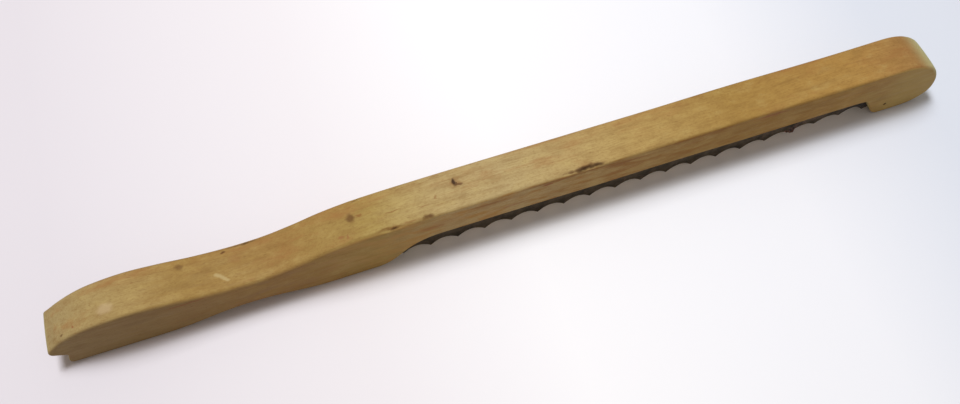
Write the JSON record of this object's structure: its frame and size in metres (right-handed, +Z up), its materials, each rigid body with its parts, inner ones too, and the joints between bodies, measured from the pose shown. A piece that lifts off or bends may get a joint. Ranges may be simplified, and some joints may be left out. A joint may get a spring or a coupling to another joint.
{
  "type": "bow bread knife",
  "caption": "Bow-shaped bread knife: shaped wooden handle, straight spine and rounded foot in one board, with a thin scalloped blade strung across the gap beneath the spine.",
  "frame": {"origin": "under the middle of the knife, on the surface it stands on, where the handle's underside, the shoulder land and the foot land rest", "axes": "+X along the knife from the butt of the handle to the nose, +Y across the board away from the blade's side, +Z up from the cutting edge to the spine"},
  "size_m": [0.4132, 0.02, 0.0344],
  "materials": {
    "wood": "bare light hardwood, sanded smooth, hand-worn, fine straight grain along the board",
    "blade_steel": "old carbon steel, dark brown patina with rust spots",
    "pin_steel": "darkened wire, cut off flush"
  },
  "bodies": {
    "root": {"bow": "wood", "blade": "blade_steel", "handle_pin": "pin_steel", "foot_pin": "pin_steel"}
  },
  "joints": []
}
